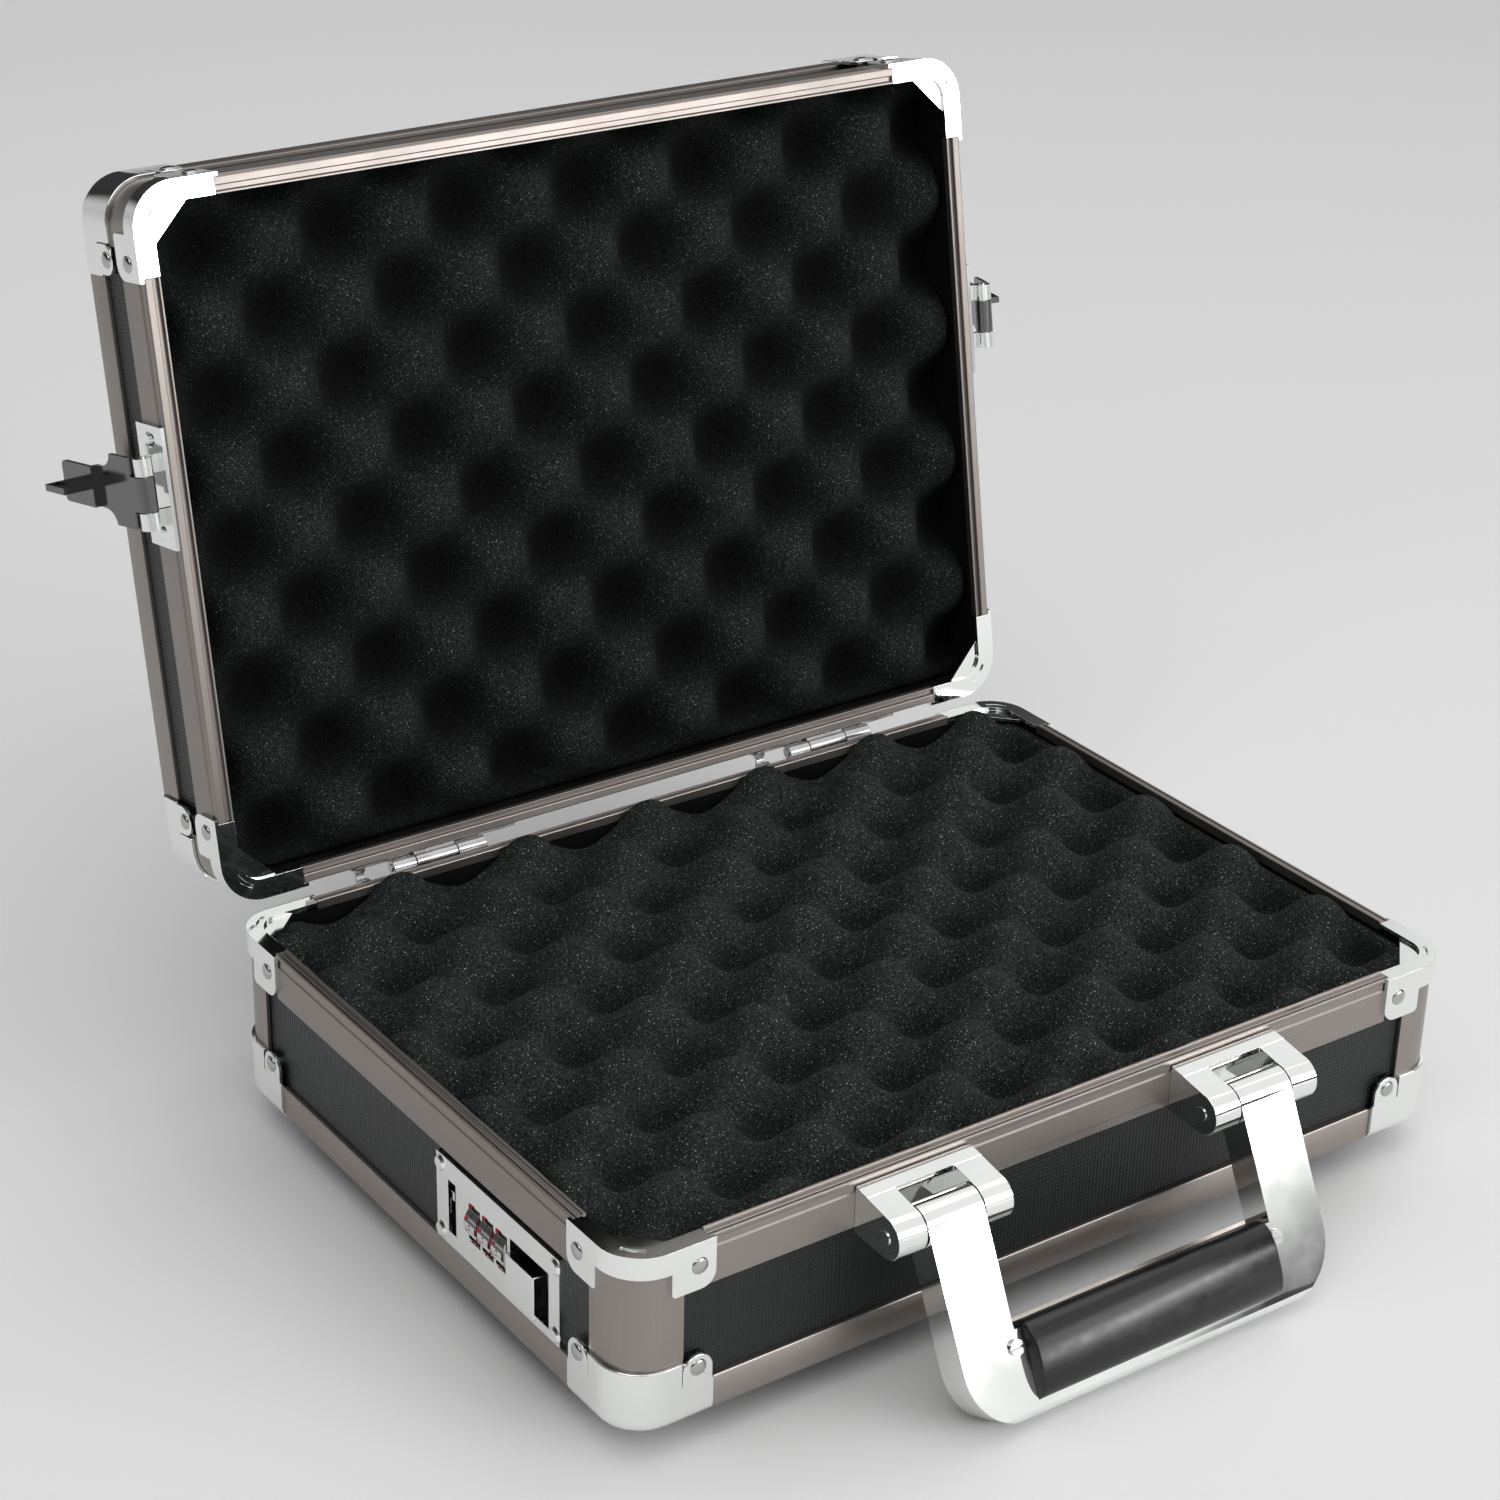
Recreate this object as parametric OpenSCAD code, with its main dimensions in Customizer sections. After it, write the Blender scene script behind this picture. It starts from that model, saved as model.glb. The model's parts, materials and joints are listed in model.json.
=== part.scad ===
// Miniature carry case: aluminium-framed clamshell with foam, two combination
// locks, two side hasps, a pair of stop hinges and a folding front handle.
// Origin: centre of the base's underside. X along the front, Y to the back, Z up.
// The lid is drawn open, leaning against its hinge stops.

/* [Case] */
// Outside width of the case along the front
case_w = 290; // [260:1:340]
// Outside depth of the case from front to back
case_d = 212; // [190:1:260]
// Height of the base tray up to its rim
base_h = 54.5; // [54:0.5:70]
// Height of the lid shell
lid_h = 37.5; // [36:0.5:50]
// Outside radius of the upright corners
corner_r = 12; // [10:0.5:14]
// Angle between the closed and the open lid
lid_angle = 100.3; // [90:0.1:105]

/* [Frame] */
// Height of the aluminium band around each rim
band_h = 14.8; // [12:0.1:16]
// Height of the trim along the outer edges
trim_h = 10; // [8:0.5:12]
// Thickness of the extrusion walls
wall_t = 1.2; // [1:0.1:1.5]
// Thickness of the laminate side panels
panel_t = 2; // [1.5:0.1:2.2]
// Thickness of the floor and top panels
floor_t = 3; // [2:0.1:4]
// Width of the base rim
base_rim_w = 4; // [4:0.1:4.5]
// Width of the lid rim
lid_rim_w = 5.1; // [5:0.1:6]
// Gap between the closed rims
rim_gap = 0.3; // [0.3:0.1:0.6]

/* [Handle] */
// Distance between the middles of the handle brackets
bracket_pitch = 109.6; // [100:0.1:130]
// Length of each bracket along the front
bracket_len = 38; // [34:1:44]
// How far the handle pivot stands off the front face
pivot_out = 13.3; // [12:0.1:15]
// Height of the handle pivot
pivot_z = 44; // [42:0.5:46]
// Width of each handle arm
arm_w = 18.6; // [16:0.1:20]
// Reach of the handle from its pivot
handle_reach = 58.5; // [56:0.5:62]
// Tilt of the handle from hanging straight down
handle_tilt = 26.5; // [20:0.5:30]

/* [Lock] */
// Distance of the lock's middle in front of the case's middle
lock_y = 43.8; // [40:0.1:48]
// Height of the lock's middle
lock_z = 24.8; // [24:0.1:26]
// Length of the lock plate
lock_len = 63; // [62:1:66]
// Height of the lock plate
lock_h = 27.4; // [27:0.1:28.5]
// Radius of a number dial
dial_r = 6; // [5.5:0.1:6]
// Distance between two dials
dial_pitch = 7; // [7:0.1:7.2]

/* [Hasp] */
// Distance of the hasps in front of the case's middle
hasp_y = 20.5; // [19:0.1:22]
// Resting swing of the left hasp from its closed place
hasp_left_swing = 175; // [90:1:176]
// Resting swing of the right hasp from its closed place
hasp_right_swing = 158; // [90:1:176]

/* [Hidden] */

$fn = 48;
eps = 0.01;

satin = "#8c8680";
laminate = "#1c1e20";
bright = "#d6d8da";
foam_grey = "#26282a";
rubber = "#151515";

half_w = case_w / 2;
half_d = case_d / 2;

// Corner layout, measured along each side from the corner
post_leg = 17.5;
post_t = 1;
rail_start = 25.2;
clamp_leg = 26.5;
clamp_t = 1.2;
tab_start = 13;
panel_start = 14;
rivet_pos = 21.4;
rivet_shank_r = 1.5;
rivet_head_r = 2.5;
rivet_head_h = 0.9;
rivet_low = 15.9;
rivet_drop = 7.1;

// Depths from the outer face
panel_o = 1.3;
lining_o = panel_o + panel_t + 0.05;
lining_t = 0.5;
foam_o = lining_o + lining_t + 0.4;
web_t = 2.4;

// Hinge
hinge_back = 3;
axis_y = half_d + hinge_back;
axis_z = base_h + rim_gap / 2;
hinge_mid = 74.4;
hinge_r = 2.35;
hinge_pin_r = 1.2;
hinge_len = 32.6;
hinge_leaf_len = 58;
hinge_leaf_h = 13;
hinge_gap = 0.3;
knuckle_a = 8;
knuckle_b = 14.6;
stop_x = 28;
stop_w = 3;

// Foam blocks
base_foam_top = 44;
lid_foam_top = 25.5;
foam_r = 8;

// Feet
foot_r = 8;
foot_h = 10;
foot_x = half_w - 27;
foot_y = half_d - 27;
foot_screw_r = 1.6;

// Lock layout in the lock's own frame: X out of the case, Y forward, Z up
lock_plate_t = 2;
lock_depth = 9.6;
lock_wall = 1;
dial_w = 5.4;
dial_sink = 2.2;
dial_first = -11.5;
dial_window_h = 12.4;
spindle_r = 1.2;
slot_y = hasp_y - lock_y;
slot_w = 4;
slot_low = -9.3;
slot_high = 7.4;
button_y = 7.7;
button_len = 14.3;
button_low = -10.2;
button_h = 13.5;
button_out = 2.1;
window_end = 26.2;
window_low = -10.8;
window_high = 6.7;
bolt_travel = 3.3;
bolt_in = -3.1;
bolt_t = 2.3;
bolt_z = -2;

// Hasp layout, measured from the hasp's own pin
hasp_out = 7.2;
hasp_up = 1.8;
hasp_knuckle_r = 2.8;
hasp_pin_r = 1.1;
hasp_t = 1.2;
hasp_half = 10.5;
hasp_neck = 5.1;
hasp_len = 40;
hasp_plate_len = 36;
hasp_plate_h = 16.5;
hasp_crank = 2;
tip_half = 6.1;
tip_r = 1.5;
staple_top = 25;
staple_low = 36;
staple_h = 8.4;
staple_t = 2;
hasp_out_to_lock = -hasp_out - panel_o;
hasp_down_to_lock = lock_z - axis_z - rim_gap / 2 - hasp_up;

// ---------- placing ----------

// Repeats its children at the four corners, corner at the origin, inside at +X +Y
module at_corners() {
    for (mx = [0, 1], my = [0, 1])
        mirror([mx, 0, 0])
            mirror([0, my, 0])
                translate([-half_w, -half_d, 0])
                    children();
}

// Puts a lid drawn as an upright tray into its open place
module lid_open() {
    translate([0, axis_y, axis_z])
        rotate([-lid_angle, 0, 0])
            translate([0, -axis_y, rim_gap / 2])
                children();
}

// A tray drawn open side up, turned over so that its rim faces down at height 0
module lid_place() {
    lid_open()
        translate([0, 0, lid_h])
            mirror([0, 0, 1])
                children();
}

// Repeats its children on the left side and mirrored on the right side
module both_sides() {
    for (m = [0, 1])
        mirror([m, 0, 0])
            children();
}

// ---------- shapes shared by base and lid ----------

module round_plate(w, d, r, h) {
    linear_extrude(h)
        polygon([for (c = [[1, 1, 0], [-1, 1, 90], [-1, -1, 180], [1, -1, 270]])
            for (a = [0:15:90])
                [c[0] * (w / 2 - r) + r * cos(a + c[2]), c[1] * (d / 2 - r) + r * sin(a + c[2])]]);
}

// Wall that follows an upright corner, from z0 to z1, standing proud of the face
module corner_wall(leg, proud, t, z0, z1) {
    translate([corner_r, corner_r, z0])
        rotate([0, 0, 180])
            rotate_extrude(angle = 90)
                translate([corner_r + proud - t, 0])
                    square([t, z1 - z0]);
    translate([corner_r - eps, -proud, z0])
        cube([leg - corner_r + eps, t, z1 - z0]);
    translate([-proud, corner_r - eps, z0])
        cube([t, leg - corner_r + eps, z1 - z0]);
}

// One straight tab with a rounded end, on the wall along X
module corner_tab(z0, z1) {
    r = 1.5;
    far_r = 4.5;
    translate([0, -clamp_t, 0])
        rotate([90, 0, 0])
            mirror([0, 0, 1])
                linear_extrude(clamp_t)
                    polygon(concat(
                        [[tab_start, z1], [tab_start, z0 + r]],
                        [for (a = [180:15:270]) [tab_start + r + r * cos(a), z0 + r + r * sin(a)]],
                        [for (a = [270:15:360])
                            [clamp_leg - far_r + far_r * cos(a), z0 + far_r + far_r * sin(a)]],
                        [[clamp_leg, z1]]));
}

module both_tabs(z0, z1) {
    corner_tab(z0, z1);
    mirror([1, -1, 0])
        corner_tab(z0, z1);
}

// Rivet bodies of one corner, along both walls, at height z
module corner_pins(r, z, depth) {
    for (m = [0, 1])
        mirror([m, -m, 0])
            translate([rivet_pos, -clamp_t - eps, z])
                rotate([-90, 0, 0])
                    cylinder(r = r, h = depth);
}

module rivet_heights(h) {
    corner_pins(rivet_shank_r + 0.02, rivet_low, 8);
    corner_pins(rivet_shank_r + 0.02, h - rivet_drop, 8);
}

module corner_rivet(z) {
    for (m = [0, 1])
        mirror([m, -m, 0])
            translate([rivet_pos, -clamp_t, z])
                rotate([-90, 0, 0])
                    union() {
                        cylinder(r = rivet_shank_r, h = lining_o + clamp_t - 0.1);
                        mirror([0, 0, 1])
                            rotate_extrude()
                                polygon(concat([[0, 0]],
                                    [for (a = [0:15:90])
                                        [rivet_head_r * cos(a), rivet_head_h * sin(a)]]));
                    }
}

module rivets(h) {
    at_corners() {
        corner_rivet(rivet_low);
        corner_rivet(h - rivet_drop);
    }
}

// Upright brown corner post
module posts(h) {
    at_corners()
        corner_wall(post_leg, 0, post_t, 1.4, h - 1.35);
}

// Chrome clamp over a rim corner, with two tabs and an inside gusset
module rim_clamps(h, rim_w) {
    gusset = 16.5;
    at_corners()
        difference() {
            union() {
                corner_wall(clamp_leg, clamp_t, clamp_t, h - 6.8, h);
                both_tabs(h - 14.4, h - 6);
                corner_wall(clamp_leg - 1.4, clamp_t, clamp_t + rim_w, h - 1.2, h);
                translate([0, 0, h - 2.2])
                    linear_extrude(1.1)
                        polygon([[rim_w + 0.1, rim_w + 0.1], [gusset, rim_w - 0.4],
                            [gusset, rim_w + 0.1], [rim_w + 0.1, gusset], [rim_w - 0.4, gusset]]);
            }
            translate([corner_r, corner_r, h - 0.6])
                rotate([0, 0, 205])
                    rotate_extrude(angle = 40)
                        translate([corner_r - rim_w * 0.66, 0])
                            square([1.1, 2]);
            corner_pins(rivet_shank_r + 0.02, h - rivet_drop, 4);
        }
}

// Profile of the rounded chrome corner: radius from the corner axis, height
function ball_profile(inner) = concat(
    [[inner, -1]],
    [for (a = [0:15:90]) [corner_r + clamp_t - 4.2 + 4.2 * sin(a), 3.2 - 4.2 * cos(a)]],
    [[corner_r + clamp_t, 18.6], [corner_r, 18.6], [corner_r, 1.25], [corner_r - 1.3, -0.05],
        [inner, -0.05]]);

module ball_corners() {
    leg_top = 11;
    at_corners()
        difference() {
            union() {
                translate([corner_r, corner_r, 0])
                    rotate([0, 0, 180])
                        rotate_extrude(angle = 90)
                            polygon(ball_profile(1));
                for (m = [0, 1])
                    mirror([m, -m, 0])
                        difference() {
                            translate([corner_r, corner_r, 0])
                                rotate([90, 0, 90])
                                    mirror([1, 0, 0])
                                        linear_extrude(clamp_leg - corner_r)
                                            polygon(ball_profile(1));
                            translate([16.5, -2, leg_top])
                                cube([20, 5, 20]);
                        }
                for (m = [0, 1])
                    mirror([m, -m, 0])
                        translate([rivet_pos, 0, rivet_low - 0.8])
                            rotate([90, 0, 0])
                                linear_extrude(clamp_t)
                                    polygon(concat([[-4.6, -5], [4.6, -5]],
                                        [for (a = [0:15:180]) [4.6 * cos(a), 4.6 * sin(a)]]));
            }
            corner_pins(rivet_shank_r + 0.02, rivet_low, 4);
        }
}

// Edge trims: an L along the front, back, left and right outer edges
module trim(len) {
    rotate([90, 0, 90])
        translate([0, 0, -len / 2])
            linear_extrude(len)
                polygon([[0, 0.4], [0.4, 0], [lining_o, 0], [lining_o, 0.8], [wall_t, 0.8],
                    [wall_t, trim_h], [0.3, trim_h], [0, trim_h - 0.4]]);
}

module trims() {
    for (m = [0, 1]) {
        mirror([0, m, 0])
            translate([0, -half_d, 0])
                trim(case_w - 2 * clamp_leg - 0.2);
        mirror([m, 0, 0])
            translate([-half_w, 0, 0])
                rotate([0, 0, -90])
                    trim(case_d - 2 * clamp_leg - 0.2);
    }
}

// Rim extrusion of the base: outer ledge, fine groove, land and raised tongue
function base_rail_profile(h) = [[0, h - band_h], [wall_t, h - band_h], [wall_t, h - web_t],
    [base_rim_w, h - web_t], [base_rim_w, h + 0.4], [base_rim_w - 0.2, h + 0.6],
    [base_rim_w - 0.8, h + 0.6], [base_rim_w - 1, h + 0.4], [base_rim_w - 1, h],
    [1.5, h], [1.3, h - 0.2], [1.3, h - 0.8], [0.9, h - 0.8], [0.9, h - 0.1], [0.7, h],
    [0.2, h], [0, h - 0.2], [0, h - 1.2], [0.35, h - 1.5], [0.35, h - 3.8], [0, h - 4]];

// Rim extrusion of the lid: wide flange, groove for the tongue and a thin inner lip
function lid_rail_profile(h) = [[0, h - band_h], [wall_t, h - band_h], [wall_t, h - web_t],
    [lid_rim_w, h - web_t], [lid_rim_w, h], [lid_rim_w - 0.7, h], [lid_rim_w - 0.8, h - 1.3],
    [2.7, h - 1.3], [2.7, h - 0.2], [2.5, h], [0.3, h], [0, h - 0.3], [0, h - 1.2],
    [0.35, h - 1.5], [0.35, h - 3.8], [0, h - 4]];

module rail(profile, len) {
    rotate([90, 0, 90])
        translate([0, 0, -len / 2])
            linear_extrude(len)
                polygon(profile);
}

module long_rail(profile) {
    translate([0, -half_d, 0])
        rail(profile, case_w - 2 * rail_start);
}

module short_rail(profile) {
    translate([-half_w, 0, 0])
        rotate([0, 0, -90])
            rail(profile, case_d - 2 * rail_start);
}

// Side panels, drawn upright on the front and on the left
module long_panel(h) {
    difference() {
        translate([-half_w + panel_start, -half_d + panel_o, 0.85])
            cube([case_w - 2 * panel_start, panel_t, h - web_t - 0.9]);
        at_corners()
            rivet_heights(h);
    }
}

module short_panel(h) {
    difference() {
        translate([-half_w + panel_o, -half_d + panel_start, 0.85])
            cube([panel_t, case_d - 2 * panel_start, h - web_t - 0.9]);
        at_corners()
            rivet_heights(h);
    }
}

module lining(h) {
    difference() {
        translate([0, 0, floor_t + 0.02])
            round_plate(case_w - 2 * lining_o, case_d - 2 * lining_o, 8, h - web_t - floor_t - 0.1);
        translate([0, 0, floor_t - 1])
            round_plate(case_w - 2 * (lining_o + lining_t), case_d - 2 * (lining_o + lining_t),
                7.5, h);
    }
}

module foam(top) {
    translate([0, 0, floor_t + 0.05])
        round_plate(case_w - 2 * foam_o, case_d - 2 * foam_o, foam_r, top - floor_t);
}

// ---------- base ----------

module base_floor_panel() color(laminate) difference() {
    round_plate(case_w - 2 * lining_o - 0.2, case_d - 2 * lining_o - 0.2, 8, floor_t);
    foot_holes(foot_screw_r + 0.02);
}
module base_front_panel() color(laminate) difference() {
    long_panel(base_h);
    bracket_rivet_holes();
}
module base_back_panel() color(laminate) mirror([0, 1, 0]) long_panel(base_h);
module base_left_panel() color(laminate) difference() {
    short_panel(base_h);
    lock_place() lock_opening();
}
module base_right_panel() color(laminate) mirror([1, 0, 0]) difference() {
    short_panel(base_h);
    lock_place() lock_opening();
}
module base_lining() color(foam_grey) difference() {
    lining(base_h);
    both_sides() lock_place() lock_opening();
}
module base_front_rail() color(satin) difference() {
    long_rail(base_rail_profile(base_h));
    bracket_rivet_holes();
}
module base_back_rail() color(satin) mirror([0, 1, 0]) long_rail(base_rail_profile(base_h));
module base_left_rail() color(satin) short_rail(base_rail_profile(base_h));
module base_right_rail() color(satin) mirror([1, 0, 0]) short_rail(base_rail_profile(base_h));
module base_bottom_trims() color(satin) trims();
module base_corner_posts() color(satin) posts(base_h);
module base_rim_clamps() color(bright) rim_clamps(base_h, base_rim_w);
module base_ball_corners() color(bright) ball_corners();
module base_rivets() color(bright) rivets(base_h);

module base_foam() color(foam_grey) difference() {
    foam(base_foam_top);
    both_sides()
        lock_place()
            translate([-lock_depth - 2, -lock_len / 2, -lock_h / 2])
                cube([lock_depth, lock_len, lock_h]);
}

module foot_places() {
    for (x = [-foot_x, foot_x], y = [-foot_y, foot_y])
        translate([x, y, 0])
            children();
}

module foot_holes(r) {
    foot_places()
        translate([0, 0, -foot_h])
            cylinder(r = r, h = foot_h + floor_t + 1);
}

module feet() color(rubber) foot_places() difference() {
    rotate_extrude()
        polygon([[0, -0.02], [foot_r, -0.02], [foot_r - 0.4, -foot_h + 0.8],
            [foot_r - 1.2, -foot_h], [0, -foot_h]]);
    translate([0, 0, -foot_h - 1])
        cylinder(r = foot_screw_r + 0.02, h = foot_h + 2);
    translate([0, 0, -foot_h - 1])
        cylinder(r = 3.6, h = 4);
}

module foot_screws() color(bright) foot_places() union() {
    translate([0, 0, -foot_h + 3 - eps])
        cylinder(r = foot_screw_r, h = foot_h - 0.2);
    translate([0, 0, -foot_h + 1.2])
        cylinder(r = 3.2, h = 1.8);
}

// ---------- lid ----------

module lid_top_panel() color(laminate) lid_place()
    round_plate(case_w - 2 * lining_o - 0.2, case_d - 2 * lining_o - 0.2, 8, floor_t);
module lid_front_panel() color(laminate) lid_place() long_panel(lid_h);
module lid_back_panel() color(laminate) lid_place() mirror([0, 1, 0]) long_panel(lid_h);
module lid_left_panel() color(laminate) lid_place() short_panel(lid_h);
module lid_right_panel() color(laminate) lid_place() mirror([1, 0, 0]) short_panel(lid_h);
module lid_lining() color(foam_grey) lid_place() lining(lid_h);
module lid_front_rail() color(satin) lid_place() long_rail(lid_rail_profile(lid_h));
module lid_back_rail() color(satin) lid_place() mirror([0, 1, 0])
    long_rail(lid_rail_profile(lid_h));
module lid_left_rail() color(satin) lid_place() short_rail(lid_rail_profile(lid_h));
module lid_right_rail() color(satin) lid_place() mirror([1, 0, 0])
    short_rail(lid_rail_profile(lid_h));
module lid_top_trims() color(satin) lid_place() trims();
module lid_corner_posts() color(satin) lid_place() posts(lid_h);
module lid_rim_clamps() color(bright) lid_place() rim_clamps(lid_h, lid_rim_w);
module lid_ball_corners() color(bright) lid_place() ball_corners();
module lid_rivets() color(bright) lid_place() rivets(lid_h);
module lid_foam() color(foam_grey) lid_place() foam(lid_foam_top);

// ---------- handle ----------

pivot_y = -half_d - pivot_out;
pivot_barrel_r = 6.2;
pivot_pin_r = 2;
lug_w = (bracket_len - arm_w - 0.8) / 2;
frame_half = bracket_pitch / 2 + arm_w / 2;
opening_half = bracket_pitch / 2 - arm_w / 2;
bar_top = 34;
frame_back = -4.5;
frame_front = 6;
frame_corner = 18;
grip_half = opening_half - 2.6;
grip_top = 33;
grip_low = 54;

module at_brackets() {
    for (s = [-1, 1])
        translate([s * bracket_pitch / 2, -half_d, 0])
            children();
}

// Side shape of a bracket: Y out of the case as X, height as Y
module bracket_side() {
    top_z = base_h - 2;
    polygon(concat([[0.02, pivot_z - pivot_barrel_r + 0.4], [0.02, top_z], [pivot_out, pivot_z + pivot_barrel_r]],
        [for (a = [90:-10:-90])
            [pivot_out + pivot_barrel_r * cos(a), pivot_z + pivot_barrel_r * sin(a)]]));
}

module bracket_extrude(x0, x1) {
    translate([x0, 0, 0])
        rotate([90, 0, 90])
            mirror([1, 0, 0])
                linear_extrude(x1 - x0)
                    children();
}

module bracket_rivet_holes() {
    at_brackets()
        for (x = [-14.5, 14.5])
            translate([x, -1, pivot_z])
                rotate([-90, 0, 0])
                    cylinder(r = rivet_shank_r + 0.02, h = 8);
}

module handle_brackets() color(bright) at_brackets() difference() {
    union() {
        for (s = [-1, 1])
            bracket_extrude(s == 1 ? bracket_len / 2 - lug_w : -bracket_len / 2,
                s == 1 ? bracket_len / 2 : -bracket_len / 2 + lug_w)
                bracket_side();
        bracket_extrude(-bracket_len / 2 + 1, bracket_len / 2 - 1)
            polygon([[0.02, pivot_z - 4], [0.02, base_h - 2.1], [1.6, base_h - 2.4],
                [1.6, pivot_z - 4]]);
        bracket_extrude(-bracket_len / 2, bracket_len / 2)
            polygon([[0.02, base_h - 4.4], [0.02, base_h - 2], [5, base_h - 2.72],
                [5, base_h - 4.4]]);
    }
    translate([-bracket_len, -pivot_out, pivot_z])
        rotate([0, 90, 0])
            cylinder(r = pivot_pin_r + 0.03, h = 2 * bracket_len);
}

module handle_pins() color(bright) at_brackets()
    translate([-bracket_len / 2 - 0.3, -pivot_out, pivot_z])
        rotate([0, 90, 0])
            cylinder(r = pivot_pin_r, h = bracket_len + 0.6);

// Handle drawn hanging straight down from its pivot, then tilted outward
module handle_place() {
    translate([0, pivot_y, pivot_z])
        rotate([-handle_tilt, 0, 0])
            children();
}

// Outline of the handle in X and reach, rounded outer corners at the bottom
module handle_outline() {
    low = -handle_reach;
    polygon(concat(
        [[frame_half, 0], [opening_half, 0], [opening_half, -bar_top], [-opening_half, -bar_top],
            [-opening_half, 0], [-frame_half, 0]],
        [for (a = [180:7.5:270])
            [-frame_half + frame_corner + frame_corner * cos(a),
                low + frame_corner + frame_corner * sin(a)]],
        [for (a = [270:7.5:360])
            [frame_half - frame_corner + frame_corner * cos(a),
                low + frame_corner + frame_corner * sin(a)]]));
}

// Side shape of the handle with softened lower edges
module handle_side() {
    r = 2.5;
    low = -handle_reach;
    polygon(concat(
        [[-frame_front, 8], [-frame_front, low + r]],
        [for (a = [180:15:270]) [-frame_front + r + r * cos(a), low + r + r * sin(a)]],
        [for (a = [270:15:360]) [-frame_back - r + r * cos(a), low + r + r * sin(a)]],
        [[-frame_back, 8]]));
}

module handle_frame() color(bright) handle_place() difference() {
    union() {
        intersection() {
            rotate([90, 0, 0])
                translate([0, 0, -20])
                    linear_extrude(40)
                        handle_outline();
            rotate([90, 0, 90])
                translate([0, 0, -case_w / 2])
                    linear_extrude(case_w)
                        handle_side();
        }
        for (s = [-1, 1])
            translate([s * bracket_pitch / 2 - arm_w / 2, 0, 0])
                rotate([0, 90, 0])
                    cylinder(r = pivot_barrel_r - 0.1, h = arm_w);
    }
    translate([-case_w / 2, 0, 0])
        rotate([0, 90, 0])
            cylinder(r = pivot_pin_r + 0.05, h = case_w);
    translate([-grip_half - 0.1, -20, -grip_low - 0.1])
        cube([2 * grip_half + 0.2, 20 + 1, grip_low - bar_top + 1]);
}

module handle_grip() color(rubber) handle_place()
    translate([-grip_half, 0, 0])
        rotate([90, 0, 90])
            linear_extrude(2 * grip_half)
                polygon(concat(
                    [[0.9, -grip_top - 1], [0.9, -grip_low]],
                    [for (a = [-90:15:90])
                        [-5 - 5.5 * cos(a), -(grip_top + grip_low) / 2
                            + (grip_low - grip_top) / 2 * sin(a)]],
                    [[-1, -grip_top]]));

module handle_screws() color(bright) handle_place()
    for (s = [-1, 1])
        translate([s * (grip_half + 3.4), -frame_front, -38.5])
            rotate([90, 0, 0])
                difference() {
                    cylinder(r = 2.2, h = 1);
                    translate([-3, -0.4, 0.5])
                        cube([6, 0.8, 1]);
                }

// ---------- locks ----------

// Lock frame on the left wall: X out of the case, Y forward, Z up
module lock_place() {
    translate([-half_w + panel_o, -lock_y, lock_z])
        rotate([0, 0, 180])
            children();
}

module lock_opening() {
    translate([-lock_depth - 1, -lock_len / 2 + 3, -lock_h / 2 + 1.6])
        cube([lock_depth + 2, lock_len - 6, lock_h - 3.2]);
}

module lock_rivet_places() {
    for (y = [-lock_len / 2 + 2.2, lock_len / 2 - 2.2], z = [-lock_h / 2 + 3, lock_h / 2 - 3])
        translate([0, y, z])
            children();
}

function dial_y(i) = dial_first + i * dial_pitch;

module lock_plate() {
    difference() {
        union() {
            translate([0.02, -lock_len / 2, -lock_h / 2])
                cube([lock_plate_t, lock_len, lock_h]);
            lock_rivet_places()
                translate([lock_plate_t, 0, 0])
                    rotate([0, 90, 0])
                        cylinder(r1 = 2.6, r2 = 1.8, h = 0.8);
        }
        translate([-1, slot_y - slot_w / 2, slot_low])
            cube([5, slot_w, slot_high - slot_low]);
        for (i = [0:2])
            translate([-1, dial_y(i) - 3, -dial_window_h / 2])
                cube([5, 6, dial_window_h]);
        translate([-1, button_y - 0.8, window_low])
            cube([5, window_end - button_y + 0.8, window_high - window_low]);
    }
}

// Box behind the plate, open outward, with ribs that carry the dial spindle
module lock_housing() {
    y0 = -lock_len / 2 + 3.2;
    y1 = lock_len / 2 - 3.2;
    z0 = -lock_h / 2 + 1.8;
    z1 = lock_h / 2 - 1.8;
    difference() {
        union() {
            difference() {
                translate([-lock_depth, y0, z0])
                    cube([lock_depth, y1 - y0, z1 - z0]);
                translate([-lock_depth + lock_wall, y0 + lock_wall, z0 + 0.7])
                    cube([lock_depth, y1 - y0 - 2 * lock_wall, z1 - z0 - 0.7 - lock_wall]);
            }
            for (i = [0:3])
                translate([-lock_depth + lock_wall / 2, dial_y(i) - dial_pitch / 2 - 0.4, -5])
                    cube([lock_depth - 1.5, 0.8, 10]);
        }
        translate([-dial_sink, -lock_len / 2 + 5, 0])
            rotate([-90, 0, 0])
                cylinder(r = spindle_r + 0.02, h = lock_len - 10);
    }
}

module lock_spindle() {
    translate([-dial_sink, dial_y(0) - dial_w / 2 - 0.3, 0])
        rotate([-90, 0, 0])
            cylinder(r = spindle_r, h = 3 * dial_pitch + 0.9);
}

module lock_dial(i) {
    translate([-dial_sink, dial_y(i) - dial_w / 2, 0])
        rotate([-90, 0, 0])
            difference() {
                cylinder(r = dial_r, h = dial_w);
                translate([0, 0, -1])
                    cylinder(r = spindle_r + 0.06, h = dial_w + 2);
                for (k = [0:9])
                    rotate([0, 0, (k + 0.5) * 36])
                        translate([dial_r + 0.3, 0, -1])
                            cylinder(r = 0.8, h = dial_w + 2, $fn = 6);
            }
}

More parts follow.
